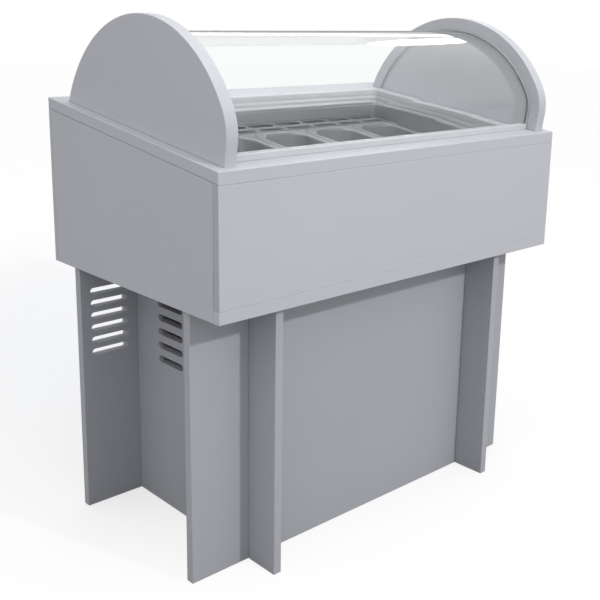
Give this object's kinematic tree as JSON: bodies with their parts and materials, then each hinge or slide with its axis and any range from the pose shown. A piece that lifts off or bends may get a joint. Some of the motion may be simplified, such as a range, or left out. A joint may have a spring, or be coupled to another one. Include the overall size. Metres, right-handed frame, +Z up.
{
  "type": "ice cream display case",
  "caption": "Floor-standing ice cream display case: sloping insulated case with pans under a curved glass between half-round end panels, on a pedestal of crossing boards.",
  "frame": {"origin": "on the floor under the middle of the case", "axes": "+Z up, front (customer side) at -Y, +X to the right of a viewer in front"},
  "size_m": [1.05, 0.63, 1.1624],
  "materials": {
    "silver_board": "fibreboard in satin silver-grey lacquer",
    "dowel_wood": "bare beech",
    "well_steel": "satin",
    "pan_steel": "bright satin",
    "rim_plastic": "matt light grey",
    "clear_glass": "clear, curved",
    "seal_rubber": "grey, matt",
    "rail_aluminium": "satin anodised",
    "foam": "rigid foam",
    "copper": "copper tube",
    "drain_plastic": "plain",
    "machine_black": "black enamel",
    "zinc_steel": "zinc plated",
    "grommet_rubber": "matt",
    "condenser_aluminium": "mill finish",
    "black_plastic": "fine grain",
    "switch_plastic": "gloss",
    "shaft_steel": "turned",
    "plate_aluminium": "brushed",
    "box_plastic": "grey"
  },
  "bodies": {
    "cabinet": {"air_grille": "well_steel", "bracket_screws": "zinc_steel", "cable_gland": "black_plastic", "canopy_glass": "clear_glass", "capillary_line": "copper", "case_base_board": "silver_board", "case_brackets": "zinc_steel", "case_front_panel": "silver_board", "case_left_panel": "silver_board", "case_rear_panel": "silver_board", "case_right_panel": "silver_board", "compressor": "machine_black", "compressor_bolts": "zinc_steel", "compressor_grommets": "grommet_rubber", "condenser": "condenser_aluminium", "control_plate": "plate_aluminium", "control_screws": "zinc_steel", "deck_frame": "silver_board", "discharge_line": "copper", "drain_tube": "drain_plastic", "drier_clip": "zinc_steel", "electrical_box": "box_plastic", "end_panel_dowels": "dowel_wood", "end_panel_left": "silver_board", "end_panel_right": "silver_board", "evaporator_coil": "copper", "fan_bracket": "zinc_steel", "fan_motor": "machine_black", "fan_shroud": "zinc_steel", "filter_drier": "copper", "front_rail": "rail_aluminium", "gland_nut": "black_plastic", "glass_seal_left": "seal_rubber", "glass_seal_right": "seal_rubber", "insulation": "foam", "liquid_line": "copper", "machine_tray": "zinc_steel", "pan_rail_front": "well_steel", "pan_rail_rear": "well_steel", "pedestal_front_board": "silver_board", "pedestal_left_board": "silver_board", "pedestal_rear_board": "silver_board", "pedestal_right_board": "silver_board", "rear_panel_screws": "zinc_steel", "suction_line": "copper", "switch_housing": "black_plastic", "terminal_cover": "black_plastic", "thermostat_body": "black_plastic", "tray_brackets": "zinc_steel", "well_liner": "well_steel", "well_rim": "rim_plastic"},
    "fan": {"fan_blade": "black_plastic"},
    "switch": {"switch_rocker": "switch_plastic"},
    "knob": {"thermostat_shaft": "shaft_steel", "thermostat_knob": "black_plastic"},
    "pan_1_body": {"pan_1": "pan_steel"},
    "pan_2_body": {"pan_2": "pan_steel"},
    "pan_3_body": {"pan_3": "pan_steel"},
    "pan_4_body": {"pan_4": "pan_steel"},
    "pan_5_body": {"pan_5": "pan_steel"}
  },
  "joints": [
    {"name": "pan_1_lift", "type": "slide", "parent": "cabinet", "child": "pan_1_body", "axis": [0, -0.1383, 0.9904], "range_m": [0, 0.12]},
    {"name": "pan_2_lift", "type": "slide", "parent": "cabinet", "child": "pan_2_body", "axis": [0, -0.1383, 0.9904], "range_m": [0, 0.12]},
    {"name": "pan_3_lift", "type": "slide", "parent": "cabinet", "child": "pan_3_body", "axis": [0, -0.1383, 0.9904], "range_m": [0, 0.12]},
    {"name": "pan_4_lift", "type": "slide", "parent": "cabinet", "child": "pan_4_body", "axis": [0, -0.1383, 0.9904], "range_m": [0, 0.12]},
    {"name": "pan_5_lift", "type": "slide", "parent": "cabinet", "child": "pan_5_body", "axis": [0, -0.1383, 0.9904], "range_m": [0, 0.12]},
    {"name": "fan_spin", "type": "hinge", "parent": "cabinet", "child": "fan", "pos_m": [0.094, 0.018, 0.1922], "axis": [1, 0, 0], "continuous": true},
    {"name": "switch_rock", "type": "hinge", "parent": "cabinet", "child": "switch", "pos_m": [0.105, 0.243, 0.5], "axis": [1, 0, 0], "range_deg": [0, 16]},
    {"name": "thermostat_turn", "type": "hinge", "parent": "cabinet", "child": "knob", "pos_m": [0.19, 0.25, 0.5], "axis": [0, -1, 0], "range_deg": [0, 270]}
  ]
}
